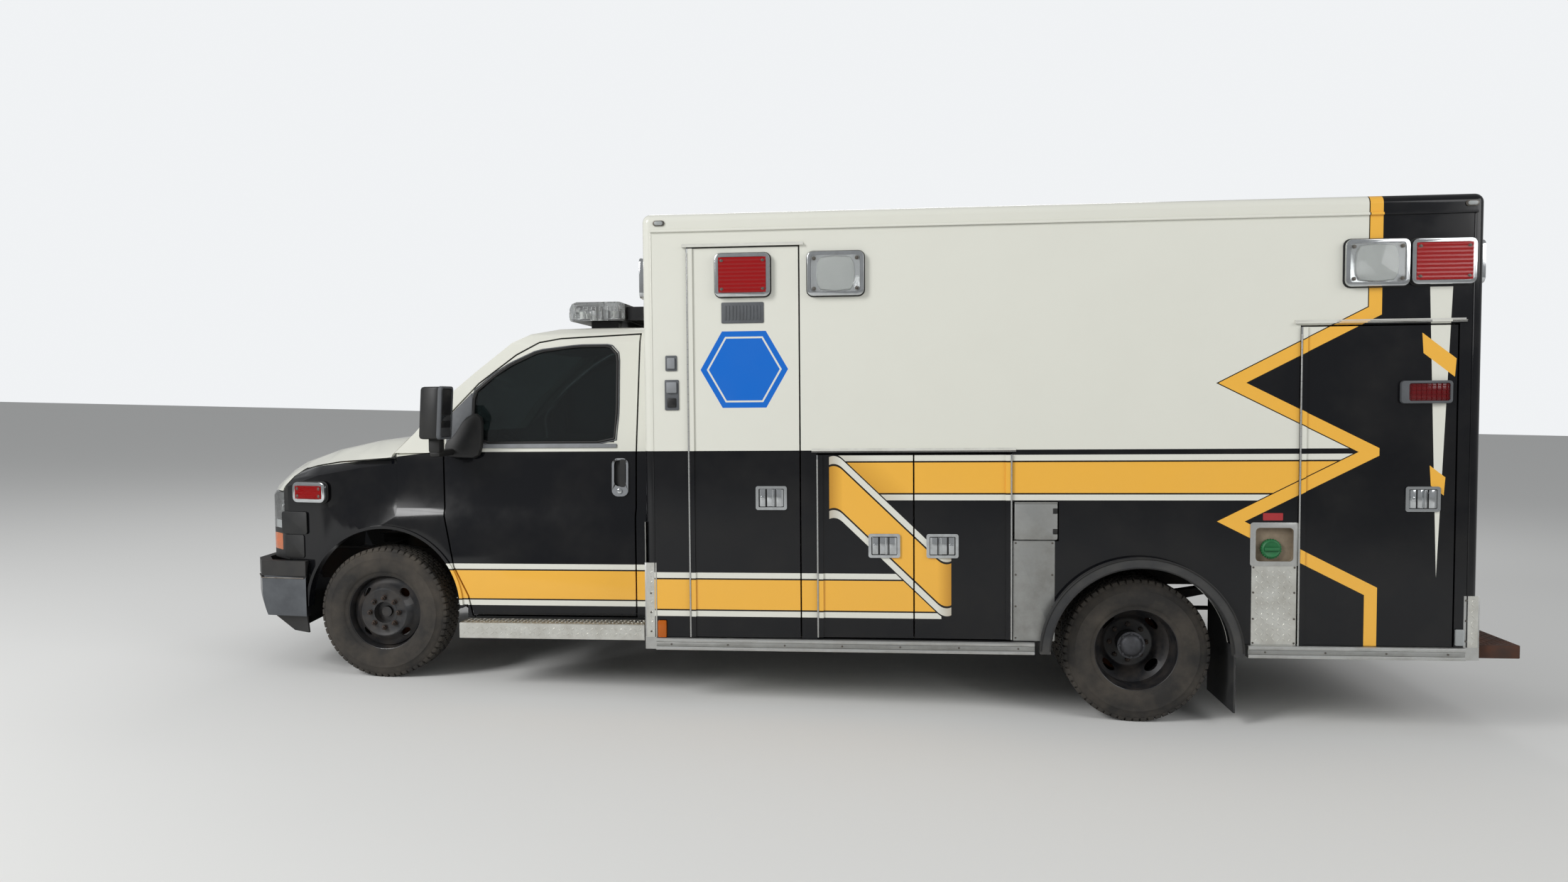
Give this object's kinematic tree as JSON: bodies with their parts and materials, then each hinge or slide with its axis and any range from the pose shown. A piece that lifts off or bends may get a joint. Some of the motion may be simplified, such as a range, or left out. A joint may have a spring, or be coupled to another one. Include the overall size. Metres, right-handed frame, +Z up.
{
  "type": "box-body ambulance",
  "caption": "Box-body ambulance on a cutaway van chassis with twin rear wheels, opening doors, lids and hood, and steering wheels.",
  "frame": {"origin": "centre of the vehicle's length and width, on the ground under its tyres", "axes": "+X to the rear, +Y to the vehicle's right, +Z up; the driver's side faces -Y"},
  "size_m": [6.687, 2.528, 2.6415],
  "materials": {
    "cab_paint": "white over black gloss enamel",
    "module_paint": "white over black gloss enamel",
    "nose_plastic": "moulded, satin black",
    "bumper_plastic": "moulded, dark grey",
    "mirror_plastic": "grained black",
    "interior_plastic": "grained grey",
    "lamp_lens": "moulded lens",
    "window_glass": "tinted",
    "seat_fabric": "woven",
    "tread_plate": "diamond tread",
    "plain_aluminium": "satin",
    "chassis_black": "dusty black",
    "cast_metal": "as cast",
    "exhaust_steel": "dull, heat-stained",
    "cabinet_laminate": "smooth",
    "floor_sheet": "safety floor",
    "flare_rubber": "moulded",
    "step_paint": "worn, dusty",
    "wheel_paint": "satin black",
    "tyre_rubber": "dusty"
  },
  "bodies": {
    "root": {"front_fenders": "cab_paint", "cab_shell": "cab_paint", "nose": "nose_plastic", "headlamps": "lamp_lens", "front_bumper": "bumper_plastic", "windscreen": "window_glass", "cab_floor": "chassis_black", "cab_seats": "seat_fabric", "dashboard": "interior_plastic", "light_bar": "lamp_lens", "running_boards": "tread_plate", "chassis_frame": "chassis_black", "engine": "cast_metal", "front_axle": "chassis_black", "rear_axle": "chassis_black", "exhaust": "exhaust_steel", "fuel_tank": "chassis_black", "module_roof": "module_paint", "module_left_wall": "module_paint", "module_right_wall": "module_paint", "module_front_wall": "module_paint", "module_rear_wall": "module_paint", "left_cabinets": "cabinet_laminate", "right_cabinets": "cabinet_laminate", "module_floor": "floor_sheet", "warning_lights": "lamp_lens", "rub_rails": "plain_aluminium", "wheel_flares": "flare_rubber", "rear_step": "step_paint"},
    "knuckle_left": {"knuckle_left": "cast_metal"},
    "knuckle_right": {"knuckle_right": "cast_metal"},
    "tie_rod": {"tie_rod": "cast_metal"},
    "front_wheel_left": {"front_wheel_left": "wheel_paint", "front_tyre_left": "tyre_rubber"},
    "front_wheel_right": {"front_wheel_right": "wheel_paint", "front_tyre_right": "tyre_rubber"},
    "rear_wheels_left": {"rear_wheels_left": "wheel_paint", "rear_tyres_left": "tyre_rubber"},
    "rear_wheels_right": {"rear_wheels_right": "wheel_paint", "rear_tyres_right": "tyre_rubber"},
    "steering_wheel": {"steering_wheel": "interior_plastic"},
    "hood": {"hood": "cab_paint"},
    "cab_door_left": {"cab_door_left": "cab_paint", "mirror_left": "mirror_plastic"},
    "cab_door_right": {"cab_door_right": "cab_paint", "mirror_right": "mirror_plastic"},
    "rear_door_left": {"rear_door_left": "module_paint"},
    "rear_door_right": {"rear_door_right": "module_paint"},
    "service_flap": {"service_flap": "plain_aluminium"},
    "front_lid_left": {"front_lid_left": "module_paint", "front_lid_light": "lamp_lens"},
    "lower_lid_left": {"lower_lid_left": "module_paint"},
    "middle_lid_left": {"middle_lid_left": "module_paint"},
    "rear_lid_left": {"rear_lid_left": "module_paint"},
    "front_lid_right": {"front_lid_right": "module_paint"},
    "entry_door": {"entry_door": "module_paint"},
    "rear_lid_right": {"rear_lid_right": "module_paint"}
  },
  "joints": [
    {"name": "steer_left", "type": "hinge", "parent": "root", "child": "knuckle_left", "pos_m": [-2.49754, -0.735, 0.363], "axis": [0, 0, 1], "range_deg": [-33, 33]},
    {"name": "steer_right", "type": "hinge", "parent": "root", "child": "knuckle_right", "pos_m": [-2.49754, 0.735, 0.363], "axis": [0, 0, 1], "range_deg": [-33, 33]},
    {"name": "tie_rod_pivot", "type": "hinge", "parent": "knuckle_left", "child": "tie_rod", "pos_m": [-2.34488, -0.735, 0.27235], "axis": [0, 0, 1], "range_deg": [-33, 33]},
    {"name": "steering_wheel_turn", "type": "hinge", "parent": "root", "child": "steering_wheel", "pos_m": [-1.88155, -0.52, 1.20803], "axis": [0.866, 0, 0.5001], "range_deg": [-528, 528]},
    {"name": "front_wheel_left_spin", "type": "hinge", "parent": "knuckle_left", "child": "front_wheel_left", "pos_m": [-2.49754, -0.874, 0.363], "axis": [0, 1, 0], "continuous": true},
    {"name": "rear_wheels_left_spin", "type": "hinge", "parent": "root", "child": "rear_wheels_left", "pos_m": [1.54312, -0.922, 0.363], "axis": [0, 1, 0], "continuous": true},
    {"name": "front_wheel_right_spin", "type": "hinge", "parent": "knuckle_right", "child": "front_wheel_right", "pos_m": [-2.49754, 0.874, 0.363], "axis": [0, 1, 0], "continuous": true},
    {"name": "rear_wheels_right_spin", "type": "hinge", "parent": "root", "child": "rear_wheels_right", "pos_m": [1.54312, 0.922, 0.363], "axis": [0, 1, 0], "continuous": true},
    {"name": "hood_lift", "type": "hinge", "parent": "root", "child": "hood", "pos_m": [-2.46576, 0, 1.34632], "axis": [0, 1, 0], "range_deg": [0, 50]},
    {"name": "cab_door_left_swing", "type": "hinge", "parent": "root", "child": "cab_door_left", "pos_m": [-2.14998, -1.008, 1.01025], "axis": [0.0287, 0, -0.9996], "range_deg": [0, 70]},
    {"name": "cab_door_right_swing", "type": "hinge", "parent": "root", "child": "cab_door_right", "pos_m": [-2.14998, 1.008, 1.01025], "axis": [-0.0287, 0, 0.9996], "range_deg": [0, 70]},
    {"name": "front_lid_left_swing", "type": "hinge", "parent": "root", "child": "front_lid_left", "pos_m": [-0.74825, -1.228, 1.35313], "axis": [0.0287, 0, -0.9996], "range_deg": [0, 90]},
    {"name": "lower_lid_left_swing", "type": "hinge", "parent": "root", "child": "lower_lid_left", "pos_m": [-0.07346, -1.228, 0.84779], "axis": [0.0287, 0, -0.9996], "range_deg": [0, 90]},
    {"name": "middle_lid_left_swing", "type": "hinge", "parent": "root", "child": "middle_lid_left", "pos_m": [0.89814, -1.228, 0.8757], "axis": [-0.0287, 0, 0.9996], "range_deg": [0, 90]},
    {"name": "rear_lid_left_swing", "type": "hinge", "parent": "root", "child": "rear_lid_left", "pos_m": [2.27091, -1.228, 1.21674], "axis": [0.0287, 0, -0.9996], "range_deg": [0, 90]},
    {"name": "front_lid_right_swing", "type": "hinge", "parent": "root", "child": "front_lid_right", "pos_m": [-0.87431, 1.228, 1.17944], "axis": [-0.0287, 0, 0.9996], "range_deg": [0, 90]},
    {"name": "entry_door_swing", "type": "hinge", "parent": "root", "child": "entry_door", "pos_m": [-0.19847, 1.228, 1.3339], "axis": [-0.0287, 0, 0.9996], "range_deg": [0, 95]},
    {"name": "rear_lid_right_swing", "type": "hinge", "parent": "root", "child": "rear_lid_right", "pos_m": [2.27091, 1.228, 1.21674], "axis": [-0.0287, 0, 0.9996], "range_deg": [0, 90]},
    {"name": "rear_door_left_swing", "type": "hinge", "parent": "root", "child": "rear_door_left", "pos_m": [3.11023, -0.784, 1.46144], "axis": [0.0287, 0, -0.9996], "range_deg": [0, 110]},
    {"name": "rear_door_right_swing", "type": "hinge", "parent": "root", "child": "rear_door_right", "pos_m": [3.11023, 0.784, 1.46144], "axis": [-0.0287, 0, 0.9996], "range_deg": [0, 110]},
    {"name": "service_flap_lift", "type": "hinge", "parent": "root", "child": "service_flap", "pos_m": [1.01166, -1.228, 1.10305], "axis": [-0.9996, 0, -0.0287], "range_deg": [0, 110]}
  ],
  "couplings": [
    {"joint": "steer_right", "follows": "steer_left", "ratio": 1},
    {"joint": "tie_rod_pivot", "follows": "steer_left", "ratio": -1},
    {"joint": "steering_wheel_turn", "follows": "steer_left", "ratio": 16}
  ]
}
